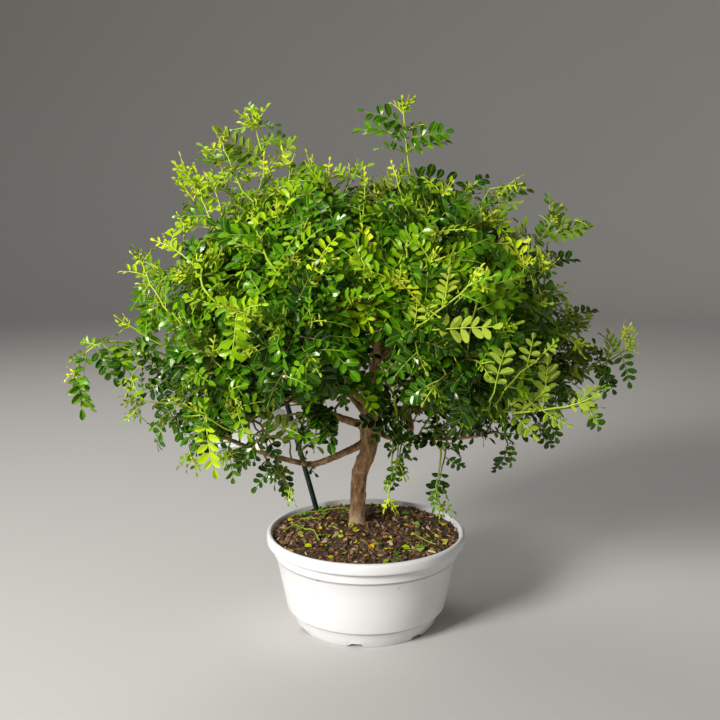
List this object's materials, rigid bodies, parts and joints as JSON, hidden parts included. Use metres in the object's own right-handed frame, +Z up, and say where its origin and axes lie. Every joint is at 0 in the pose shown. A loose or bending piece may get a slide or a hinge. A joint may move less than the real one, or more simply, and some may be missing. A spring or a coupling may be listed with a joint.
{
  "type": "japanese pepper bonsai",
  "caption": "Broad domed bonsai tree with feathered compound leaves, an S-shaped trunk, a support stake with a blank plate, and a round white training pot filled with bark mulch.",
  "frame": {"origin": "centre of the pot on the surface that it stands on, which is the bottom centre of the whole box", "axes": "+Z up along the pot's axis, +X to the right and -Y towards the viewer of the picture"},
  "size_m": [0.5163, 0.3553, 0.4723],
  "materials": {
    "pot": "smooth white moulded plastic, light dirt and scuffs",
    "soil": "dark bark-chip mulch with fallen yellow leaflets",
    "bark": "thin brown bark, greenish at the foot",
    "stake": "dark green plastic",
    "label": "blank white plastic plate",
    "leaf": "glossy green leaves, paler and matt beneath",
    "young_leaf": "bright yellow-green young leaves"
  },
  "bodies": {
    "root": {"pot": "pot", "soil": "soil", "trunk": "bark", "stake": "stake", "label_plate": "label", "leafy_shoot_01": "leaf", "leafy_shoot_02": "leaf", "leafy_shoot_03": "leaf", "leafy_shoot_04": "leaf", "leafy_shoot_05": "leaf", "leafy_shoot_06": "leaf", "leafy_shoot_07": "leaf", "leafy_shoot_08": "leaf", "leafy_shoot_09": "leaf", "leafy_shoot_10": "leaf", "leafy_shoot_11": "leaf", "leafy_shoot_12": "young_leaf", "leafy_shoot_13": "young_leaf", "leafy_shoot_14": "young_leaf", "leafy_shoot_15": "young_leaf", "leafy_shoot_16": "young_leaf", "leafy_shoot_17": "young_leaf", "leafy_shoot_18": "young_leaf", "leafy_shoot_19": "young_leaf", "leafy_shoot_20": "young_leaf", "leafy_shoot_21": "leaf", "leafy_shoot_22": "leaf", "leafy_shoot_23": "leaf", "leafy_shoot_24": "leaf", "leafy_shoot_25": "leaf", "leafy_shoot_26": "leaf", "leafy_shoot_27": "leaf", "leafy_shoot_28": "leaf", "leafy_shoot_29": "leaf", "leafy_shoot_30": "young_leaf", "leafy_shoot_31": "young_leaf", "leafy_shoot_32": "leaf", "leafy_shoot_33": "young_leaf", "leafy_shoot_34": "young_leaf", "leafy_shoot_35": "young_leaf", "leafy_shoot_36": "young_leaf", "leafy_shoot_37": "young_leaf", "leafy_shoot_38": "leaf"}
  },
  "joints": []
}
